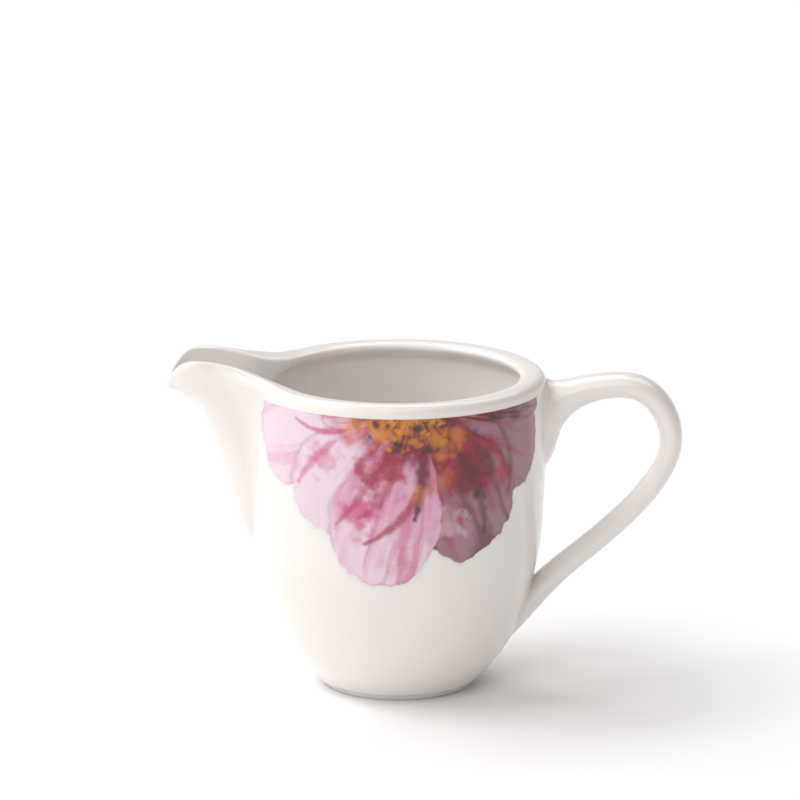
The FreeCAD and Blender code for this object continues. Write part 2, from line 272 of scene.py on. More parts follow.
def drawn_out(levels, radius, reach, half_width, fillet, seam, base):
    """Half outlines of a circle with a blunt nose drawn out of it, level by level.

    Returns distance towards the spout and distance sideways for every level and
    every column from the tip to the far side.
    """
    levels = np.asarray(levels, float)[:, None]
    turn = np.linspace(0.0, SECTOR, RAYS)[None, :]
    radius = radius(levels)
    wide = fair_curve(half_width)(levels)
    long = fair_curve(reach)(levels) - base
    soft = fair_curve(fillet)(levels)
    power = SPOUT_SQUARENESS
    near = np.broadcast_to(radius * NEAREST, (levels.size, turn.size)).copy()
    far = near + WIDEST
    for _ in range(RAY_HALVINGS):
        ray = 0.5 * (near + far)
        ahead = np.maximum(ray * np.cos(turn) - base, 0.0) / long
        aside = ray * np.sin(turn) / wide
        form = (ahead ** power + aside ** power + SPECK) ** (1 / power)
        slope = np.hypot(ahead ** (power - 1) / long, aside ** (power - 1) / wide)
        slope = slope * form ** (1 - power) + SPECK
        from_nose = np.where(levels < reach[0][0], NOT_NEAR, (form - 1) / slope)
        from_wall = ray - radius
        gap = np.maximum(np.minimum(from_nose, from_wall), soft)
        both = np.hypot(np.maximum(soft - from_nose, 0), np.maximum(soft - from_wall, 0))
        inside = gap - both < 0
        near = np.where(inside, ray, near)
        far = np.where(inside, far, ray)
    x = far * np.cos(turn)
    y = far * np.sin(turn)
    column = np.arange(HALF_TURN + 1)
    result = np.zeros((levels.size, HALF_TURN + 1, 2))
    seam_at = np.arcsin(fair_curve(seam)(levels) / radius)
    for n in range(levels.size):
        along = np.concatenate([[0.0], np.cumsum(np.hypot(np.diff(x[n]), np.diff(y[n])))])
        parted = np.interp(seam_at[n, 0], turn[0], along)
        before = parted * column / SEAM_COLUMN
        after = np.clip((column - SEAM_COLUMN) / (SECTOR_COLUMN - SEAM_COLUMN), 0.0, 1.0)
        share = np.minimum(before, parted) + (along[-1] - parted) * after ** SEAM_CROWDING
        result[n, :, 0] = np.interp(share, along, x[n])
        result[n, :, 1] = np.interp(share, along, y[n])
        rest = (column - SECTOR_COLUMN) / (HALF_TURN - SECTOR_COLUMN)
        around = SECTOR + (math.pi - SECTOR) * rest
        plain = column > SECTOR_COLUMN
        result[n, plain, 0] = radius[n, 0] * np.cos(around[plain])
        result[n, plain, 1] = radius[n, 0] * np.sin(around[plain])
    return result


class Skin:
    """Stack of half outlines that can be read at any level."""

    step = 0.2
    short_of_top = 1.001    # so that there is always an outline above

    def __init__(self, low, high, *recipe):
        """Work out the outlines from low to high; the recipe is as for drawn_out."""
        self.low = low
        levels = np.arange(low, high + self.step, self.step)
        self.stack = drawn_out(levels, *recipe)

    def at(self, level, column):
        """Points at a level for a column; the arguments broadcast together."""
        level, column = np.broadcast_arrays(level, column)
        highest = len(self.stack) - self.short_of_top
        place = np.clip((level - self.low) / self.step, 0, highest)
        n = place.astype(int)
        part = (place - n)[..., None]
        return self.stack[n, column] * (1 - part) + self.stack[n + 1, column] * part


def inner_radius(level):
    """Radius inside the wall, by height from the rim."""
    low, bowl = BOWL[0]
    height = np.clip(RIM + np.asarray(level, float), low, RIM - LIP_TUCK)
    turning = ease((BOWL_TURN - height) / BOWL_TURN_DEPTH)
    thick = WALL_THICK + (WALL_RADIUS(low) - bowl - WALL_THICK) * turning
    under_lip = ease((height - NECK_START) / NECK_DEPTH)
    tuck = (RIM_RADIUS - LIP_RADIUS - LIP_OVERHANG - WALL_THICK) * under_lip
    return WALL_RADIUS(height) - thick - tuck


def make_skins():
    """Outside of the vessel, inner edge of its rim and inside of its wall."""
    outside = Skin(
        OUTSIDE_LOW, SPOUT_TOP,
        lambda v: WALL_RADIUS(np.minimum(RIM + v, RIM - SHOULDER)),
        NOSE_REACH, NOSE_HALF_WIDTH, NOSE_FILLET, SEAM, NOSE_BASE,
    )
    inner_seam = [(level, half * SEAM_INSIDE) for level, half in SEAM]
    lip = Skin(
        LIP_LOW, SPOUT_TOP, lambda v: np.full_like(v, LIP_RADIUS),
        CHANNEL_REACH, CHANNEL_HALF_WIDTH, LIP_FILLET, inner_seam, CHANNEL_BASE,
    )
    inside = Skin(
        INSIDE_LOW, SPOUT_TOP, inner_radius,
        CHANNEL_REACH, CHANNEL_HALF_WIDTH, CHANNEL_FILLET, inner_seam, CHANNEL_BASE,
    )
    return outside, lip, inside


# ------------------------------------------------------------------ vessel ribs

UNDERSIDE_ROWS = 9
BELLY_ROWS = 39         # wall rows below the spout, outside
WALL_ROWS = 80          # wall rows beside the spout, outside
SHOULDER_ROWS = 10
LIP_ROWS = 16
TUCK_ROWS = 10
INNER_ROWS = WALL_ROWS + SHOULDER_ROWS - LIP_ROWS - TUCK_ROWS
BELLY_ROWS_INSIDE = 23
BOWL_ROWS = 29


def meet_edge(skin, column):
    """Where a skin reaches the pouring edge, for each column."""
    low, high = (np.full(len(column), level) for level in EDGE_LEVELS)
    for _ in range(EDGE_HALVINGS):
        level = 0.5 * (low + high)
        under = level < EDGE(skin.at(level, column)[:, 0])
        low = np.where(under, level, low)
        high = np.where(under, high, level)
    return np.column_stack([skin.at(high, column), high])


def lip_section():
    """Rim's section from shoulder to inner edge: (share of its width, height)."""
    share = SHOULDER / (RIM_RADIUS - LIP_RADIUS)
    turn = np.linspace(0.0, 0.5 * math.pi, SHOULDER_ROWS + 1)[1:]
    outer = np.column_stack([share * (1 - np.cos(turn)), SHOULDER * (np.sin(turn) - 1)])
    turn = np.linspace(0.0, 0.5 * math.pi, LIP_ROWS + 1)[1:]
    across = share + (1 - share) * np.sin(turn) ** LIP_FULLNESS
    down = LIP_CURL * (np.cos(turn) ** LIP_FULLNESS - 1)
    return np.vstack([outer, np.column_stack([across, down])])


class Vessel:
    """Every row of the vessel for every column of its half turn.

    Rows run from the middle of the underside, up the outside, over the rim and down
    the inside to the middle of the floor.  foot_row and low_row are where the spout's
    joint ends, outside and inside.
    """

    def __init__(self):
        """Work out all rows, in the order in which the class names them."""
        outside, lip, inside = make_skins()
        column = np.arange(HALF_TURN + 1)
        level_with = np.ones(len(column))
        edge_out = meet_edge(outside, column)
        edge_lip = meet_edge(lip, column)
        bulk = np.linalg.norm(edge_out - edge_lip, axis=1) / (RIM_RADIUS - LIP_RADIUS)
        bulk = bulk[:, None]
        middle = 0.5 * (edge_out[:, 0] + edge_lip[:, 0])
        rise = EDGE(middle + EDGE_PROBE) - EDGE(middle - EDGE_PROBE)
        slope = rise / (2 * EDGE_PROBE)
        up = np.column_stack([-slope, 0 * slope, level_with])
        up = up / np.linalg.norm(up, axis=1)[:, None]
        foot = WALL[0][0]
        self.low = RIM + SPOUT_FOOT
        rows = []

        base = outside.at(foot - RIM, column)
        for part in np.linspace(0.0, 1.0, UNDERSIDE_ROWS)[:-1]:
            rows.append(np.column_stack([base * part, foot * level_with]))

        shoulder = edge_out - up * SHOULDER * bulk
        self.top = shoulder[:, 2] + RIM
        drift = shoulder[:, :2] - outside.at(self.top - RIM, column)
        for height in np.linspace(foot, self.low, BELLY_ROWS + 1)[:-1]:
            rows.append(np.column_stack([outside.at(height - RIM, column), height * level_with]))
        self.foot_row = len(rows)
        for share in np.linspace(0.0, 1.0, WALL_ROWS):
            z = self.low + share * (self.top - self.low)
            flat = outside.at(z - RIM, column) + drift * share ** EDGE_BLEND
            rows.append(np.column_stack([flat, z]))

        for share, height in lip_section():
            point = edge_out + (edge_lip - edge_out) * share + up * height * bulk
            rows.append(np.column_stack([point[:, :2], point[:, 2] + RIM]))

        tip = edge_lip - up * LIP_CURL * bulk
        drift = tip[:, :2] - lip.at(tip[:, 2], column)
        tuck = (LIP_TUCK - LIP_CURL) * bulk[:, 0]
        for share in np.linspace(0.0, 1.0, TUCK_ROWS + 2)[1:-1]:
            level = tip[:, 2] - tuck * share
            soft = ease(share)
            flat = lip.at(level, column) * (1 - soft) + inside.at(level, column) * soft
            rows.append(np.column_stack([flat + drift * (1 - soft), level + RIM]))

        top = tip[:, 2] - tuck + RIM
        for share in np.linspace(1.0, 0.0, INNER_ROWS):
            z = self.low + share * (top - self.low)
            rows.append(np.column_stack([inside.at(z - RIM, column), z]))
        self.low_row = len(rows) - 1
        for height in np.linspace(self.low, BOWL[0][0], BELLY_ROWS_INSIDE + 1)[1:]:
            rows.append(np.column_stack([inside.at(height - RIM, column), height * level_with]))

        bowl, length = path_curve([(r, z) for z, r in BOWL])
        base = inside.at(BOWL[0][0] - RIM, column) / BOWL[0][1]
        for along in np.linspace(0.0, length, BOWL_ROWS + 1)[1:]:
            r, z = bowl(along)
            rows.append(np.column_stack([base * max(r, 0.0), z * level_with]))
        rows[-1][:, :2] = 0.0
        self.rows = np.array(rows)

    def outside_at(self, height, column):
        """Points of the outer wall between its rows and columns, smoothly."""
        top = np.interp(column, np.arange(HALF_TURN + 1), self.top)
        row = self.foot_row + (height - self.low) / (top - self.low) * (WALL_ROWS - 1)
        i = np.clip(row.astype(int), 1, len(self.rows) - 3)
        j = np.clip(column.astype(int), 1, HALF_TURN - 2)
        by_row = flowing(row - i)
        by_column = flowing(column - j)
        total = 0.0
        for m in range(4):
            for n in range(4):
                pull = by_row[m] * by_column[n]
                total = total + pull[..., None] * self.rows[i + m - 1, j + n - 1]
        return total


def flowing(t):
    """Shares of four neighbours in a smooth curve between the middle two."""
    return (
        0.5 * (-t + 2 * t ** 2 - t ** 3),
        0.5 * (2 - 5 * t ** 2 + 3 * t ** 3),
        0.5 * (t + 4 * t ** 2 - 3 * t ** 3),
        0.5 * (-t ** 2 + t ** 3),
    )


# -------------------------------------------------------------------- mesh tools


def in_place(x, y, z):
    """Jug millimetres, distance towards the spout first, as a point in metres."""
    return Vector(((AXIS_X - x) * MM, y * MM, z * MM))


def finished(form, name, material, node):
    """Turn a bmesh into a piece that rides on the jug and stands for a CAD node."""
    form.normal_update()
    skin = form.verts.layers.float_vector.get("skin")
    normals = []
    if skin:
        for face in form.faces:
            for corner in face.loops:
                normals.append(face.normal.copy() if face.tag else corner.vert[skin].copy())
    mesh = bpy.data.meshes.new(name)
    form.to_mesh(mesh)
    form.free()
    mesh.shade_smooth()
    if normals:
        mesh.normals_split_custom_set(normals)
    piece = bpy.data.objects.new(name, mesh)
    bpy.context.collection.objects.link(piece)
    mesh.materials.append(material)
    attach(piece, "root")
    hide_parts(node)
    return piece


def spun_vessel(vessel):
    """The whole vessel, spun and then drawn out, with row and column on its corners."""
    form = bmesh.new()
    row_of = form.verts.layers.int.new("row")
    column_of = form.verts.layers.int.new("column")
    skin = form.verts.layers.float_vector.new("skin")
    chain = []
    for n, (x, _, z) in enumerate(vessel.rows[:, HALF_TURN]):
        corner = form.verts.new((abs(x), 0.0, z))
        corner[row_of] = n
        chain.append(corner)
    edges = [form.edges.new(pair) for pair in zip(chain, chain[1:])]
    bmesh.ops.spin(
        form, geom=chain + edges, cent=(0, 0, 0), axis=(0, 0, 1),
        angle=2 * math.pi, steps=2 * HALF_TURN, use_merge=True,
    )
    bmesh.ops.remove_doubles(form, verts=form.verts, dist=MERGE)
    for corner in form.verts:
        step = round(math.atan2(corner.co.y, corner.co.x) / math.pi * HALF_TURN)
        side = 1 if step >= 0 else -1
        column = HALF_TURN - abs(step)
        corner[column_of] = column * side
        x, y, z = vessel.rows[corner[row_of], column]
        corner.co = in_place(x, y * side, z)
    bmesh.ops.recalc_face_normals(form, faces=form.faces)
    form.normal_update()
    for corner in form.verts:
        corner[skin] = corner.normal
    return form


def keep_faces(form, wanted):
    """Drop every face that the test refuses, with what only it used."""
    row_of = form.verts.layers.int["row"]
    column_of = form.verts.layers.int["column"]
    spare = []
    for face in form.faces:
        face.tag = False
        rows = [corner[row_of] for corner in face.verts]
        columns = [abs(corner[column_of]) for corner in face.verts]
        if not wanted(min(rows), max(rows), max(columns)):
            spare.append(face)
    bmesh.ops.delete(form, geom=spare, context="FACES")


def close_cut(form, column, first, last):
    """Wall up a cut through the vessel along a column and its opposite, and below."""
    row_of = form.verts.layers.int["row"]
    column_of = form.verts.layers.int["column"]
    corners = {(corner[row_of], corner[column_of]): corner for corner in form.verts}
    half = (last - first + 1) // 2
    pairs = []
    for side in (-column, column):
        outer = [corners[row, side] for row in range(first, first + half)]
        inner = [corners[row, side] for row in range(last, last - half, -1)]
        pairs.append((outer, inner))
    across = range(-column, column + 1)
    pairs.append(([corners[first, n] for n in across], [corners[last, n] for n in across]))
    for outer, inner in pairs:
        edges = []
        for chain in (outer, inner):
            edges += [form.edges.get(pair) for pair in zip(chain, chain[1:])]
        made = bmesh.ops.bridge_loops(form, edges=edges)
        for face in made["faces"]:
            face.tag = True


def tube(form, rings):
    """A closed skin through rings of points, drawn out ring by ring and capped."""
    bmesh.ops.create_circle(form, segments=len(rings[0]), radius=1.0)
    ring = form.verts[:]
    edges = form.edges[:]
    for n, points in enumerate(rings):
        if n:
            made = bmesh.ops.extrude_edge_only(form, edges=edges)["geom"]
            ring = [item for item in made if isinstance(item, bmesh.types.BMVert)]
            edges = [item for item in made if isinstance(item, bmesh.types.BMEdge)]
            edges = [edge for edge in edges if all(corner in ring for corner in edge.verts)]
        for corner, point in zip(ring, points):
            corner.co = in_place(*point)
    bmesh.ops.holes_fill(form, edges=form.edges, sides=0)
    bmesh.ops.recalc_face_normals(form, faces=form.faces)


# -------------------------------------------------------------------- materials


# Places of the colour sockets on a Mix node.
MIX_UNDER = 6
MIX_OVER = 7
MIXED = 2


class NodeBench:
    """Adds and joins shader nodes for one material."""

    def __init__(self, name):
        """Start a new material with its usual shader, kept as skin."""
        self.material = bpy.data.materials.new(name)
        self.material.use_nodes = True
        self.tree = self.material.node_tree
        self.skin = self.tree.nodes["Principled BSDF"]

    def add(self, kind, **values):
        """A new node, with values for its sockets or, failing that, its settings."""
        node = self.tree.nodes.new(kind)
        for key, value in values.items():
            if key in node.inputs:
                node.inputs[key].default_value = value
            else:
                setattr(node, key, value)
        return node

    def join(self, source, target):
        """Lead one socket into another."""
        self.tree.links.new(source, target)

    def grain(self, scale, detail=3.0, roughness=0.5):
        """Fractal noise on object coordinates, as a socket."""
        place = self.add("ShaderNodeTexCoord")
        field = self.add("ShaderNodeTexNoise", Scale=scale, Detail=detail, Roughness=roughness)
        self.join(place.outputs["Object"], field.inputs["Vector"])
        return field.outputs["Fac"]

    def ramp(self, source, stops):
        """Colour ramp through (place, colour) stops, as a socket."""
        node = self.add("ShaderNodeValToRGB")
        band = node.color_ramp
        while len(band.elements) < len(stops):
            band.elements.new(0.5)
        for element, (place, colour) in zip(band.elements, stops):
            element.position = place
            element.color = (*colour, 1.0)
        self.join(source, node.inputs["Fac"])
        return node.outputs["Color"]

    def spread(self, source, low, high):
        """Stretch a 0 to 1 socket to a range."""
        node = self.add("ShaderNodeMapRange")
        node.inputs["To Min"].default_value = low
        node.inputs["To Max"].default_value = high
        self.join(source, node.inputs["Value"])
        return node.outputs["Result"]


def glaze_over(bench, colour, rough):
    """Gloss glaze with faint pooling and dimples; returns its colour socket."""
    skin = bench.skin
    tint = Vector(colour[:3])
    cool = tint * 0.985
    warm = Vector((tint.x, tint.y * 0.995, tint.z * 0.985))
    patches = bench.grain(scale=140.0, detail=4.0)
    bench.join(bench.spread(patches, *rough), skin.inputs["Roughness"])
    dimple = bench.add("ShaderNodeBump", Strength=0.03, Distance=0.0003)
    bench.join(bench.grain(scale=330.0, detail=2.0), dimple.inputs["Height"])
    bench.join(dimple.outputs["Normal"], skin.inputs["Normal"])
    skin.inputs["IOR"].default_value = 1.52
    return bench.ramp(bench.grain(scale=28.0), [(0.3, cool), (0.7, warm)])


def glazed_porcelain(colour):
    """Clear gloss glaze over white porcelain."""
    bench = NodeBench("clear_glaze")
    bench.join(glaze_over(bench, colour, (0.05, 0.12)), bench.skin.inputs["Base Color"])
    return bench.material


def printed_enamel(colour):
    """On-glaze colours, fading into the glaze where the paint runs out."""
    bench = NodeBench("blossom_enamel")
    base = glaze_over(bench, colour, (0.07, 0.16))
    paint = bench.add("ShaderNodeAttribute", attribute_name="paint")
    grain = bench.grain(scale=2600.0, detail=4.0, roughness=0.7)
    grain = bench.ramp(grain, [(0.3, (0.9,) * 3), (0.7, (1.06,) * 3)])
    speck = bench.add("ShaderNodeMix", data_type="RGBA", blend_type="MULTIPLY")
    speck.inputs["Factor"].default_value = 1.0
    bench.join(paint.outputs["Color"], speck.inputs[MIX_UNDER])
    bench.join(grain, speck.inputs[MIX_OVER])
    over = bench.add("ShaderNodeMix", data_type="RGBA")
    bench.join(paint.outputs["Alpha"], over.inputs["Factor"])
    bench.join(base, over.inputs[MIX_UNDER])
    bench.join(speck.outputs[MIXED], over.inputs[MIX_OVER])
    bench.join(over.outputs[MIXED], bench.skin.inputs["Base Color"])
    return bench.material


def bare_porcelain(colour):
    """Unglazed, rubbed standing ring with fine specks."""
    bench = NodeBench("rubbed_biscuit")
    skin = bench.skin
    tint = Vector(colour[:3])
    stops = [(0.25, tint * 0.82), (0.5, tint), (0.8, tint * 0.95)]
    specks = bench.grain(scale=900.0, detail=6.0, roughness=0.7)
    bench.join(bench.ramp(specks, stops), skin.inputs["Base Color"])
    rubbed = bench.grain(scale=500.0, detail=4.0)
    bench.join(bench.spread(rubbed, 0.55, 0.8), skin.inputs["Roughness"])
    tooth = bench.add("ShaderNodeBump", Strength=0.25, Distance=0.0002)
    bench.join(bench.grain(scale=1800.0, detail=4.0), tooth.inputs["Height"])
    bench.join(tooth.outputs["Normal"], skin.inputs["Normal"])
    return bench.material


def shared(name, maker, colour):
    """A material by name, made on first use."""
    return bpy.data.materials.get(name) or maker(colour)


# -------------------------------------------------------------------- blossom

# The blossom hangs from a heart just above its painted field, in millimetres round
# the wall and up from the rim.
HEART = (4.0, 1.0)
PLAIN_BAND = 3.4        # bare glaze left under the rim
FIELD_DEPTH = 51.0
FIELD_COLUMNS = (44.0, 148.0)
FIELD_GRID = (330, 144)
FRINGE = 0.17           # how far the pale fringe stands outside the petals
FRINGE_COVER = 0.4
LEAST_COVER = 0.01      # the film ends where the paint is thinner than this
COVERED = 0.3           # washes and strokes keep to places with more cover than this

# A petal's outline and the way its paint lies.
PETAL_ENDS = 3          # powers that square off its ends and its sides
PETAL_SIDES = 2.6
PETAL_EDGE = 0.1        # softness of its outline
PETAL_SHADE = 0.22      # how much it darkens what lies just behind its outline
RUFFLE = 0.2            # wandering of the outline, broad and fine
FINE_RUFFLE = 0.07
VEIN_LIMIT = 0.6        # the most that veins and rim tint a petal
RIM_TINT = (0.09, 0.06)     # how far in from the outline paint gathers, and how widely

# Red warmth and darkness that spread from the heart: (reach, tint, unevenness, strength).
HEART_SQUASH = 1.25
HEART_WASHES = ((26.0, "crimson", 0.4, 0.7), (17.0, "maroon", 0.5, 0.9))

# Petals from the back one to the front one: (turn from straight down in degrees,
# length, half width, tints at heart, middle and tip, tint of the veins).
PETALS = (
    (64.0, 46.0, 15.5, "maroon", "mauve", "mauve", "crimson"),
    (-72.0, 52.0, 15.0, "rose", "pale", "pale", "blush"),
    (-42.0, 46.0, 14.5, "rose", "pale", "pale", "blush"),
    (28.0, 47.0, 17.0, "maroon", "crimson", "mauve", "maroon"),
    (-13.0, 52.0, 15.5, "crimson", "blush", "pale", "rose"),
    (83.0, 45.0, 4.8, "gold", "maroon", "mauve", "maroon"),
    (-80.0, 26.0, 4.6, "gold", "blush", "pale", "rose"),
)
# Folds drawn over the petals: (start, bend, end, half width, tint, strength).
FOLDS = (
    ((5.0, -3.0), (8.5, -16.0), (4.5, -31.0), 2.3, "maroon", 0.9),
    ((4.5, -24.0), (3.0, -32.0), (-9.0, -38.0), 1.7, "crimson", 0.8),
    ((-3.0, -12.0), (-8.0, -24.0), (-17.0, -33.0), 1.5, "crimson", 0.55),
    ((0.0, -14.0), (-3.0, -28.0), (-11.0, -31.0), 1.6, "crimson", 0.6),
    ((-14.0, -7.0), (-22.0, -9.5), (-30.0, -5.5), 1.0, "rose", 0.75),
    ((-17.0, -10.0), (-24.0, -15.0), (-29.0, -23.0), 1.6, "rose", 0.55),
    ((14.0, -12.0), (24.0, -20.0), (25.0, -36.0), 2.4, "maroon", 0.6),
    ((10.0, -18.0), (15.0, -28.0), (16.0, -38.0), 1.5, "mauve", 0.5),
    ((29.0, -7.0), (36.0, -14.0), (33.0, -27.0), 1.4, "maroon", 0.45),
)
# Wet washes run into the petals: (centre, radius, tint, strength).
POOLS = (
    ((-21.0, -15.0), 5.0, "rose", 0.5),
    ((-30.0, -19.0), 4.0, "blush", 0.5),
    ((-11.0, -30.0), 6.5, "rose", 0.75),
    ((-8.0, -23.0), 4.0, "pale", 0.5),
    ((2.0, -42.0), 5.0, "rose", 0.4),
    ((-4.0, -17.0), 7.5, "crimson", 0.85),
    ((21.0, -19.0), 10.0, "maroon", 0.6),
    ((5.0, -11.0), 6.0, "maroon", 0.6),
    ((14.0, -33.0), 5.0, "pale", 0.45),
    ((12.0, -21.0), 4.0, "gold", 0.3),
)
GOLD_POOLS = (
    ((-5.0, -6.0), 5.0, "gold", 0.75),
    ((-11.0, -5.5), 4.5, "gold", 0.6),
    ((2.0, -4.0), 4.0, "gold", 0.55),
    ((11.0, -10.0), 5.0, "gold", 0.6),
    ((16.0, -9.0), 4.0, "gold", 0.5),
    ((5.5, -24.0), 3.0, "gold", 0.35),
)
STAMENS = 60
STAMEN_TURN = (-80.0, 74.0)     # degrees from straight down
STAMEN_LENGTH = (6.0, 17.5)
STAMEN_START = 2.0      # stamens leave the heart this far from its middle
STAMEN_HALF_WIDTH = 0.34
STAMEN_HEAD = (0.6, 1.7)
DARK_HEADS = 3          # every third head is umber
STROKE_STEPS = 60


def clouds(x, y, seed, depth=3):
    """Fractal noise at many places at once, about -1 to 1."""
    return np.array([
        noise.fractal(Vector((a, b, seed)), 1.0, 2.0, depth)
        for a, b in zip(x.tolist(), y.tolist())
    ])


class Canvas:
    """The painted field: where each grain of it lies, its colour and its cover."""

    def __init__(self, across, up, ground):
        """Start from bare glaze at places given round the wall and up from the rim."""
        self.across = across
        self.up = up
        self.colour = np.tile(np.array(ground, float), (len(across), 1))
        self.cover = np.zeros(len(across))
        self.form = np.full(len(across), -1.0)

    def pool(self, centre, radius, tint, strength, seed):
        """A wash that spreads unevenly from a wet middle."""
        gap = np.hypot(self.across - centre[0], self.up - centre[1]) / radius
        near = (gap < 2.2) & (self.cover > COVERED)
        spread = clouds(self.across[near] * 0.3, self.up[near] * 0.3, seed, 4)
        amount = ease(1.15 - gap[near] + 0.8 * spread) * strength
        self.colour[near] += (tint - self.colour[near]) * amount[:, None]

    def petal(self, seed, turn, length, half_width, tints, vein):
        """A veined, ruffled petal that hangs from the heart over those behind it."""
        lean = math.radians(turn)
        right = self.across - HEART[0]
        rise = self.up - HEART[1]
        along = (right * math.sin(lean) - rise * math.cos(lean)) / length
        aside = right * math.cos(lean) + rise * math.sin(lean)
        aside = aside / (half_width * (0.35 + 0.65 * ease(1.5 * along)))
        wave = RUFFLE * clouds(self.across * 0.1, self.up * 0.1, seed)
        wave += FINE_RUFFLE * clouds(self.across * 0.4, self.up * 0.4, seed + 0.5)
        form = 1 - np.abs(2 * along - 1) ** PETAL_ENDS - np.abs(aside) ** PETAL_SIDES + wave
        body = ease(form / PETAL_EDGE)
        behind = ease((form + 0.2) / 0.2) * (1 - body) * self.cover
        self.colour *= 1 - PETAL_SHADE * behind[:, None]
        veins = clouds(aside * 4.0, along * 1.6, seed + 9.1, 4)
        pools = clouds(self.across * 0.12, self.up * 0.12, seed + 13.7)
        depth = np.clip(1.25 * along - 0.1 + 0.3 * pools + 0.3 * veins, 0, 1)[:, None]
        near, middle, tip = tints
        wash = near + (middle - near) * ease(2 * depth) + (tip - middle) * ease(2 * depth - 1)
        wash = wash + (vein - wash) * np.clip(1.5 * veins - 0.25, 0, VEIN_LIMIT)[:, None]
        inset, spread = RIM_TINT
        edge = np.exp(-((form - inset) / spread) ** 2) * np.clip(0.25 + pools, 0, VEIN_LIMIT)
        wash = wash + (vein - wash) * edge[:, None]
        self.colour += (wash - self.colour) * body[:, None]
        self.cover = np.maximum(self.cover, body)
        self.form = np.maximum(self.form, form)

    def stroke(self, start, bend, end, half_width, tint, strength, seed=0.0):
        """A brush stroke that swells in its middle and dries out at its ends."""
        place = np.full(len(self.across), np.inf)
        share = np.zeros(len(self.across))
        for t in np.linspace(0.0, 1.0, STROKE_STEPS):
            x = (1 - t) ** 2 * start[0] + 2 * t * (1 - t) * bend[0] + t * t * end[0]
            y = (1 - t) ** 2 * start[1] + 2 * t * (1 - t) * bend[1] + t * t * end[1]
            gap = np.hypot(self.across - x, self.up - y)
            share = np.where(gap < place, t, share)
            place = np.minimum(place, gap)
        swell = half_width * (0.4 + 0.6 * np.sin(math.pi * share ** 0.8))
        near = place < 3 * half_width
        ragged = np.zeros(len(place))
        ragged[near] = clouds(self.across[near] * 0.5, self.up[near] * 0.5, seed + 3.3)
        amount = ease(1.2 - place / swell + 0.3 * ragged) * strength * (self.cover > COVERED)
        self.colour += (tint - self.colour) * amount[:, None]

    def dab(self, centre, size, turn, tint, strength):
        """A soft oval touch of the brush, longest across its turn."""
        right = self.across - centre[0]
        rise = self.up - centre[1]
        along = (right * math.sin(turn) - rise * math.cos(turn)) / (0.75 * size)
        aside = (right * math.cos(turn) + rise * math.sin(turn)) / (1.15 * size)
        amount = ease(1.7 * (1 - np.hypot(along, aside))) * strength * (self.cover > COVERED)
        self.colour += (tint - self.colour) * amount[:, None]


def paint_blossom(canvas, tints):
    """Petals back to front, their folds, the dark heart and its gold stamens."""
    for n, (turn, length, half_width, *names, vein) in enumerate(PETALS):
        wash = [tints[name] for name in names]
        canvas.petal(2.7 * n + 1.3, turn, length, half_width, wash, tints[vein])
    for n, (centre, radius, name, strength) in enumerate(POOLS):
        canvas.pool(centre, radius, tints[name], strength, 50.0 + 1.7 * n)
    for n, (start, bend, end, half_width, name, strength) in enumerate(FOLDS):
        canvas.stroke(start, bend, end, half_width, tints[name], strength, n)
    from_heart = np.hypot(canvas.across - HEART[0], HEART_SQUASH * (canvas.up - HEART[1]))
    glow = clouds(canvas.across * 0.2, canvas.up * 0.2, 41.0)
    for reach, name, uneven, strength in HEART_WASHES:
        amount = ease(1.2 - from_heart / reach + uneven * glow) * strength
        amount = amount * (canvas.cover > COVERED)
        canvas.colour += (tints[name] - canvas.colour) * amount[:, None]
    for n, (centre, radius, name, strength) in enumerate(GOLD_POOLS):
        canvas.pool(centre, radius, tints[name], strength, 80.0 + 1.7 * n)
    chance = np.random.default_rng(5)
    for n in range(STAMENS):
        turn = math.radians(chance.uniform(*STAMEN_TURN))
        length = chance.uniform(*STAMEN_LENGTH) * (0.72 + 0.28 * abs(math.sin(turn)))
        start, tip = ((HEART[0] + reach * math.sin(turn), HEART[1] - reach * math.cos(turn))
                      for reach in (STAMEN_START, length))
        bend = (0.5 * (start[0] + tip[0]) + chance.uniform(-1, 1), 0.5 * (start[1] + tip[1]))
        thread = tints["gold"] * chance.uniform(0.45, 1.0)
        canvas.stroke(start, bend, tip, STAMEN_HALF_WIDTH, thread, 0.6, n)
        head = chance.uniform(*STAMEN_HEAD)
        name = "umber" if n % DARK_HEADS == 0 else "gold"
        shade = tints[name] * chance.uniform(0.6, 1.1)
        canvas.dab((tip[0] + 0.3, tip[1] - 0.4), 1.3 * head, turn, tints["umber"], 0.35)
        canvas.dab(tip, head, turn, shade, 0.8)
    fringe = ease((canvas.form + FRINGE) / FRINGE) * (1 - canvas.cover)
    canvas.colour += (tints["fringe"] - canvas.colour) * ease(2 * fringe)[:, None]
    canvas.cover = np.maximum(canvas.cover, FRINGE_COVER * fringe)


# -------------------------------------------------------------------- settings


class JugSizes(bpy.types.PropertyGroup):
    """Sizes a maker may change without touching the frame."""

    joint_bead: bpy.props.FloatProperty(
        name="Joint bead",
        description="Reach of the smoothed slip where the handle meets the wall",
        default=1.1 * MM, unit="LENGTH", min=0.0003, max=0.003,
    )
    film: bpy.props.FloatProperty(
        name="Film", description="Height of the fired-on colours over the glaze",
        default=0.07 * MM, unit="LENGTH", min=0.00005, max=0.0005, precision=6,
    )


def colour_setting(name, description, default):
    """A colour that a user may change."""
    return bpy.props.FloatVectorProperty(
        name=name, description=description, subtype="COLOR", size=3, min=0, max=1,
        default=default,
    )


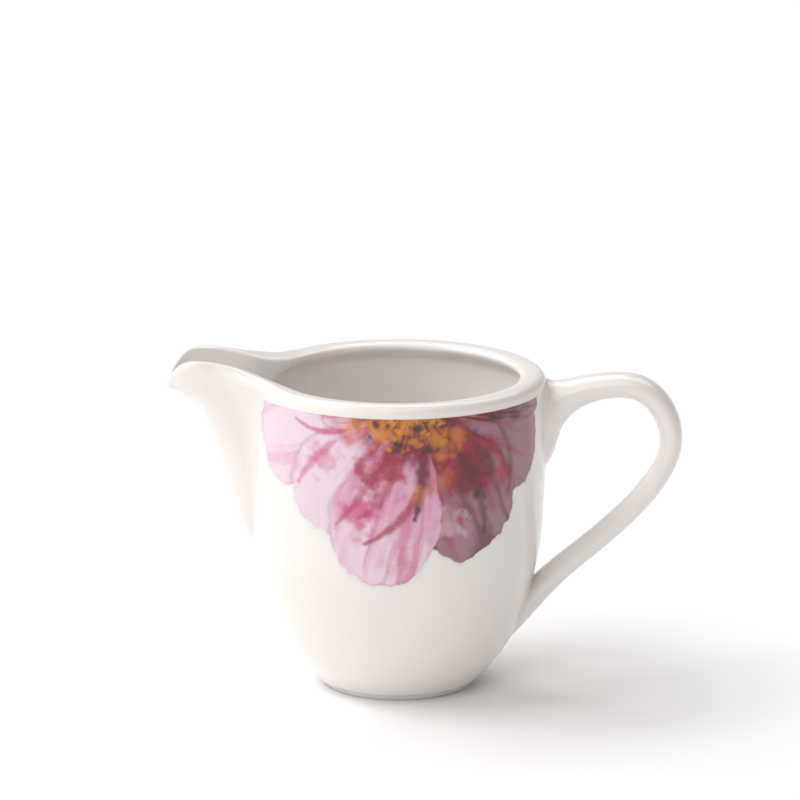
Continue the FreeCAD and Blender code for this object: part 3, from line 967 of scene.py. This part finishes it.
class JugColours(bpy.types.PropertyGroup):
    """Colours of clay, glaze, paint and studio."""

    glaze: colour_setting("Glaze", "Glazed porcelain", (0.85, 0.81, 0.785))
    biscuit: colour_setting("Biscuit", "Unglazed standing ring", (0.84, 0.805, 0.77))
    floor: colour_setting("Floor", "Studio floor", (0.96, 0.96, 0.96))
    pale: colour_setting("Pale", "Tips of the light petals", (0.78, 0.62, 0.71))
    blush: colour_setting("Blush", "Light petals", (0.70, 0.37, 0.53))
    rose: colour_setting("Rose", "Pink washes and veins", (0.58, 0.07, 0.22))
    crimson: colour_setting("Crimson", "Strong red washes", (0.37, 0.028, 0.06))
    maroon: colour_setting("Maroon", "Dark folds and heart", (0.08, 0.012, 0.018))
    mauve: colour_setting("Mauve", "Greyed petals at the back", (0.35, 0.19, 0.235))
    gold: colour_setting("Gold", "Stamens", (0.76, 0.27, 0.03))
    umber: colour_setting("Umber", "Dark stamen heads", (0.08, 0.03, 0.02))
    fringe: colour_setting("Fringe", "Soft edge round the petals", (0.70, 0.74, 0.69))


# -------------------------------------------------------------------- operators


class JUG_OT_vessel(bpy.types.Operator):
    """Spin the vessel, draw out its spout and part the two along their seam"""

    bl_idname = "jug.vessel"
    bl_label = "Vessel and Spout"

    def execute(self, context):
        glaze = shared("clear_glaze", glazed_porcelain, context.scene.jug_colours.glaze)
        vessel = Vessel()
        whole = spun_vessel(vessel)
        seam = SEAM_COLUMN
        first, last = vessel.foot_row, vessel.low_row

        def in_spout(low, high, column):
            return low >= first and high <= last and column <= seam

        def in_body(low, high, column):
            return low < first - 1 or high > last + 1 or column > seam + 1

        spout = whole.copy()
        keep_faces(spout, in_spout)
        close_cut(spout, seam, first, last)
        finished(spout, "jug_spout", glaze, "spout")
        slip = whole.copy()
        keep_faces(slip, lambda *place: not in_spout(*place) and not in_body(*place))
        close_cut(slip, seam, first, last)
        close_cut(slip, seam + 1, first - 1, last + 1)
        finished(slip, "spout_slip", glaze, "spout_slip_joint")
        keep_faces(whole, in_body)
        close_cut(whole, seam + 1, first - 1, last + 1)
        finished(whole, "jug_body", glaze, "body")
        return {"FINISHED"}


def handle_surface():
    """Point on the handle's skin by distance along it and turn around it."""
    spine, length = path_curve(HANDLE)
    power = 2.0 / HANDLE_SQUARENESS

    def surface(along, turn):
        x, z, heading, thick, wide = np.moveaxis(spine(along), -1, 0)
        lean = np.radians(heading)
        c, s = np.cos(turn), np.sin(turn)
        rise = thick * np.sign(c) * np.abs(c) ** power
        side = wide * np.sign(s) * np.abs(s) ** power
        return np.stack([-(x - np.sin(lean) * rise), side, RIM + z + np.cos(lean) * rise], -1)

    return surface, length


def wall_crossing(surface, turn, start, end, depth):
    """Distance along the handle at which each line of it passes the wall."""
    start = np.broadcast_to(start, turn.shape)
    end = np.broadcast_to(end, turn.shape)
    for _ in range(HANDLE_HALVINGS):
        middle = 0.5 * (start + end)
        point = surface(middle, turn)
        clear = np.hypot(point[:, 0], point[:, 1]) > outer_radius(point[:, 2]) - depth
        end = np.where(clear, middle, end)
        start = np.where(clear, start, middle)
    return end


def unit(vectors):
    """Vectors of the same directions, one long."""
    return vectors / np.linalg.norm(vectors, axis=-1)[..., None]


def wall_normal(point):
    """Outward direction of the plain wall at points on or near it."""
    step = 0.1
    slope = (outer_radius(point[:, 2] + step) - outer_radius(point[:, 2] - step)) / (2 * step)
    radius = np.hypot(point[:, 0], point[:, 1])
    return unit(np.stack([point[:, 0] / radius, point[:, 1] / radius, -slope], -1))


def joint_rings(surface, turn, start, middle, bead):
    """Rings of a slip joint: out of the wall, round its bead and into the handle."""
    contact = wall_crossing(surface, turn, start, middle, 0.0)
    point = surface(contact, turn)
    away = math.copysign(1.0, middle - start)
    climb = unit(surface(contact + SLIP_PROBE * away, turn) - point)
    normal = wall_normal(point)
    spread = point - point.mean(axis=0)
    spread = unit(spread - (spread * normal).sum(-1)[:, None] * normal)
    on_wall = point + spread * bead
    on_wall = on_wall - normal * (
        np.hypot(on_wall[:, 0], on_wall[:, 1]) - outer_radius(on_wall[:, 2])
    )[:, None]
    on_handle = surface(contact + bead * away, turn)
    rings = [on_wall - normal * SLIP_SINK]
    for t in np.linspace(0.0, 1.0, SLIP_RINGS):
        rings.append((1 - t) ** 2 * on_wall + 2 * t * (1 - t) * point + t * t * on_handle)
    inward = unit(surface(contact + bead * away, turn + math.pi) - on_handle)
    rings.append(on_handle + inward * SLIP_SINK + climb * SLIP_SINK)
    return rings


class JUG_OT_handle(bpy.types.Operator):
    """Pull the handle and smooth its two slip joints"""

    bl_idname = "jug.handle"
    bl_label = "Handle and Joints"

    def execute(self, context):
        glaze = shared("clear_glaze", glazed_porcelain, context.scene.jug_colours.glaze)
        surface, length = handle_surface()
        turn = np.arange(HANDLE_SIDES) * 2 * math.pi / HANDLE_SIDES
        middle = 0.5 * length
        first = wall_crossing(surface, turn, 0.0, middle, HANDLE_SINK)
        last = wall_crossing(surface, turn, length, middle, HANDLE_SINK)
        rings = [surface(first + (last - first) * n / HANDLE_RINGS, turn)
                 for n in range(HANDLE_RINGS + 1)]
        form = bmesh.new()
        tube(form, rings)
        finished(form, "jug_handle", glaze, "handle")
        bead = context.scene.jug_sizes.joint_bead / MM
        ends = (("upper", 0.0), ("lower", length))
        for name, start in ends:
            form = bmesh.new()
            tube(form, joint_rings(surface, turn, start, middle, bead))
            finished(form, name + "_handle_slip", glaze, name + "_handle_slip_joint")
        return {"FINISHED"}


class JUG_OT_foot_ring(bpy.types.Operator):
    """Turn the unglazed standing ring"""

    bl_idname = "jug.foot_ring"
    bl_label = "Foot Ring"

    def execute(self, context):
        clay = shared("rubbed_biscuit", bare_porcelain, context.scene.jug_colours.biscuit)
        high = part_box("foot_ring")[1] / MM
        outer = high.y
        form = bmesh.new()
        profile = [
            (outer, high.z),
            (outer - RING_BELLY * RING_FLARE, 0.5 * high.z),
            (outer - RING_FLARE, 0.0),
            (RING_INSIDE, 0.0),
            (RING_INSIDE, high.z),
        ]
        chain = [form.verts.new((x, 0.0, z)) for x, z in profile]
        edges = [form.edges.new(pair) for pair in zip(chain, chain[1:] + chain[:1])]
        bmesh.ops.spin(
            form, geom=chain + edges, cent=(0, 0, 0), axis=(0, 0, 1),
            angle=2 * math.pi, steps=RING_SIDES, use_merge=True,
        )
        bmesh.ops.remove_doubles(form, verts=form.verts, dist=MERGE)
        worn = [edge for edge in form.edges
                if all(corner.co.z < RING_UNDERSIDE for corner in edge.verts)
                and edge.calc_face_angle(0.0) > RING_CORNER]
        bmesh.ops.bevel(
            form, geom=worn, offset=RING_WEAR, offset_type="OFFSET",
            segments=RING_WEAR_STEPS, profile=0.5, affect="EDGES", material=-1,
        )
        for corner in form.verts:
            corner.co = in_place(*corner.co)
        bmesh.ops.recalc_face_normals(form, faces=form.faces)
        for edge in form.edges:
            edge.smooth = edge.calc_face_angle(0.0) < CREASE
        finished(form, "foot_ring_bare", clay, "foot_ring")
        return {"FINISHED"}


class JUG_OT_blossom(bpy.types.Operator):
    """Lay the painted blossom on the wall as a thin film of enamel"""

    bl_idname = "jug.blossom"
    bl_label = "Painted Blossom"

    def execute(self, context):
        colours = context.scene.jug_colours
        enamel = shared("blossom_enamel", printed_enamel, colours.glaze)
        film = context.scene.jug_sizes.film / MM
        wide, high = FIELD_GRID
        column = np.linspace(*FIELD_COLUMNS, wide + 1)[None, :]
        height = np.linspace(RIM - FIELD_DEPTH, RIM - PLAIN_BAND, high + 1)[:, None]
        column, height = np.broadcast_arrays(column, height)
        wall = Vessel().outside_at(height, column)
        normal = unit(np.cross(np.gradient(wall, axis=0), np.gradient(wall, axis=1)))
        outward = np.sign((normal[..., :2] * wall[..., :2]).sum(-1))
        normal = normal * outward[..., None]
        across = RIM_RADIUS * np.arctan2(-wall[..., 0], wall[..., 1])
        canvas = Canvas(across.ravel(), (wall[..., 2] - RIM).ravel(), colours.glaze)
        tints = {key: np.array(getattr(colours, key)) for key in JugColours.__annotations__}
        paint_blossom(canvas, tints)
        top = (wall + normal * film).reshape(-1, 3)
        under = (wall - normal * FILM_SINK).reshape(-1, 3)

        form = bmesh.new()
        bmesh.ops.create_grid(form, x_segments=wide, y_segments=high, size=1.0)
        paint = form.verts.layers.float_color.new("paint")
        lower = form.verts.layers.float_vector.new("lower")
        bare = []
        for corner in form.verts:
            i = round(0.5 * (corner.co.x + 1) * wide)
            j = round(0.5 * (corner.co.y + 1) * high)
            n = j * (wide + 1) + i
            corner[paint] = (*canvas.colour[n], canvas.cover[n])
            x, y, z = top[n]
            corner.co = in_place(x, -y, z)
            x, y, z = under[n]
            corner[lower] = in_place(x, -y, z)
            if canvas.cover[n] < LEAST_COVER:
                bare.append(corner)
        bmesh.ops.delete(form, geom=bare, context="VERTS")
        loose = [corner for corner in form.verts if not corner.link_faces]
        bmesh.ops.delete(form, geom=loose, context="VERTS")
        bmesh.ops.recalc_face_normals(form, faces=form.faces)
        rest = form.verts[:]
        bmesh.ops.extrude_face_region(form, geom=form.faces[:], use_keep_orig=True)
        for corner in rest:
            corner.co = corner[lower]
        bmesh.ops.recalc_face_normals(form, faces=form.faces)
        for edge in form.edges:
            edge.smooth = edge.calc_face_angle(0.0) < CREASE
        finished(form, "painted_blossom", enamel, "flower_transfer")
        return {"FINISHED"}


# Studio sizes are in metres, and the camera's places in the jug's millimetres.
FLOOR_REACH = 4.0       # from the middle to each side
FLOOR_ROUGHNESS = 0.9
AIM_HEIGHT = 0.05       # the soft boxes face the jug's axis at this height
AIR_COLOUR = (1.0, 0.95, 0.92)
AIR_AT_HORIZON = 0.75
AIR_ABOVE = 0.22
AIR_FADE = 0.35         # the horizon has faded at this rise, 1 being straight up


class JUG_OT_stage(bpy.types.Operator):
    """Set the floor, the soft lights and the camera"""

    bl_idname = "jug.stage"
    bl_label = "Studio"

    def execute(self, context):
        floor_colour = context.scene.jug_colours.floor
        form = bmesh.new()
        bmesh.ops.create_grid(form, x_segments=1, y_segments=1, size=FLOOR_REACH)
        mesh = bpy.data.meshes.new("studio_floor")
        form.to_mesh(mesh)
        form.free()
        floor = bpy.data.objects.new("studio_floor", mesh)
        context.collection.objects.link(floor)
        bench = NodeBench("studio_floor")
        bench.skin.inputs["Base Color"].default_value = (*floor_colour, 1.0)
        bench.skin.inputs["Roughness"].default_value = FLOOR_ROUGHNESS
        mesh.materials.append(bench.material)

        context.scene.world = studio_air()
        context.scene.view_settings.view_transform = "Standard"
        aim = Vector((AXIS_X * MM, 0.0, AIM_HEIGHT))
        for n, (turn, height, power) in enumerate(SOFT_BOXES):
            around = Matrix.Rotation(math.radians(turn), 3, "Z")
            upward = Matrix.Rotation(-math.radians(height), 3, "Y")
            towards = around @ upward @ Vector((SOFT_BOX_REACH, 0.0, 0.0))
            soft_box(context, f"soft_box_{n + 1}", aim + towards, aim, power)
        add_camera(context)
        return {"FINISHED"}


def studio_air():
    """A pale horizon that fades to a faint light from above."""
    world = bpy.data.worlds.new("studio_air")
    world.use_nodes = True
    tree = world.node_tree
    place = tree.nodes.new("ShaderNodeTexCoord")
    parts = tree.nodes.new("ShaderNodeSeparateXYZ")
    level = tree.nodes.new("ShaderNodeMapRange")
    level.inputs["From Max"].default_value = AIR_FADE
    level.inputs["To Min"].default_value = AIR_AT_HORIZON
    level.inputs["To Max"].default_value = AIR_ABOVE
    background = tree.nodes["Background"]
    background.inputs["Color"].default_value = (*AIR_COLOUR, 1.0)
    tree.links.new(place.outputs["Generated"], parts.inputs["Vector"])
    tree.links.new(parts.outputs["Z"], level.inputs["Value"])
    tree.links.new(level.outputs["Result"], background.inputs["Strength"])
    return world


SOFT_BOX_REACH = 2.8
SOFT_BOX_SIZE = 1.4
# Soft boxes round the jug: (degrees round from the handle, degrees up, watts).
# The spout's side is the brighter one and the handle's side is dimmer.
SOFT_BOXES = (
    (190.0, 52.0, 27.0),
    (205.0, 24.0, 8.0),
    (235.0, 24.0, 9.0),
    (270.0, 52.0, 12.5),
    (50.0, 50.0, 10.0),
    (100.0, 50.0, 14.0),
    (140.0, 22.0, 9.0),
    (155.0, 50.0, 25.0),
)


def soft_box(context, name, place, aim, power):
    """A square softbox that faces a point."""
    data = bpy.data.lights.new(name, "AREA")
    data.shape = "SQUARE"
    data.size = SOFT_BOX_SIZE
    data.energy = power
    lamp = bpy.data.objects.new(name, data)
    lamp.location = place
    lamp.rotation_mode = "QUATERNION"
    lamp.rotation_quaternion = (aim - place).to_track_quat("-Z", "Y")
    context.collection.objects.link(lamp)


CAMERA_DISTANCE = 1500.0
CAMERA_DIP = math.radians(13.75)
CAMERA_PITCH = math.radians(14.02)
CAMERA_ASIDE = 0.55     # towards the handle
CAMERA_LOWERED = 0.8
LENS = 247.3
SENSOR = 36.0


def add_camera(context):
    """A long lens that looks down a little on the jug's painted side."""
    data = bpy.data.cameras.new("camera")
    data.sensor_width = SENSOR
    data.lens = LENS
    data.clip_start = 0.05
    data.clip_end = 20.0
    camera = bpy.data.objects.new("camera", data)
    camera.location = (
        (AXIS_X + CAMERA_ASIDE) * MM,
        -CAMERA_DISTANCE * math.cos(CAMERA_DIP) * MM,
        (RIM - CAMERA_LOWERED + CAMERA_DISTANCE * math.sin(CAMERA_DIP)) * MM,
    )
    camera.rotation_euler = (0.5 * math.pi - CAMERA_PITCH, 0.0, 0.0)
    context.collection.objects.link(camera)
    context.scene.camera = camera


class JUG_PT_panel(bpy.types.Panel):
    """Lists the jug's pieces in the sidebar"""

    bl_label = "Cream Jug"
    bl_idname = "JUG_PT_panel"
    bl_space_type = "VIEW_3D"
    bl_region_type = "UI"
    bl_category = "Jug"

    def draw(self, context):
        layout = self.layout
        for step in STEPS:
            layout.operator(step.bl_idname)
        for key in JugSizes.__annotations__:
            layout.prop(context.scene.jug_sizes, key)
        for key in JugColours.__annotations__:
            layout.prop(context.scene.jug_colours, key)


STEPS = (JUG_OT_vessel, JUG_OT_handle, JUG_OT_foot_ring, JUG_OT_blossom, JUG_OT_stage)
CLASSES = (JugSizes, JugColours, *STEPS, JUG_PT_panel)


def register():
    """Add the jug's operators, settings and panel."""
    for item in CLASSES:
        bpy.utils.register_class(item)
    bpy.types.Scene.jug_sizes = bpy.props.PointerProperty(type=JugSizes)
    bpy.types.Scene.jug_colours = bpy.props.PointerProperty(type=JugColours)


def unregister():
    """Take them away again."""
    del bpy.types.Scene.jug_colours
    del bpy.types.Scene.jug_sizes
    for item in reversed(CLASSES):
        bpy.utils.unregister_class(item)


def main():
    """Build the jug."""
    register()
    bpy.ops.jug.vessel()
    bpy.ops.jug.handle()
    bpy.ops.jug.foot_ring()
    bpy.ops.jug.blossom()
    bpy.ops.jug.stage()


if __name__ == "__main__":
    main()
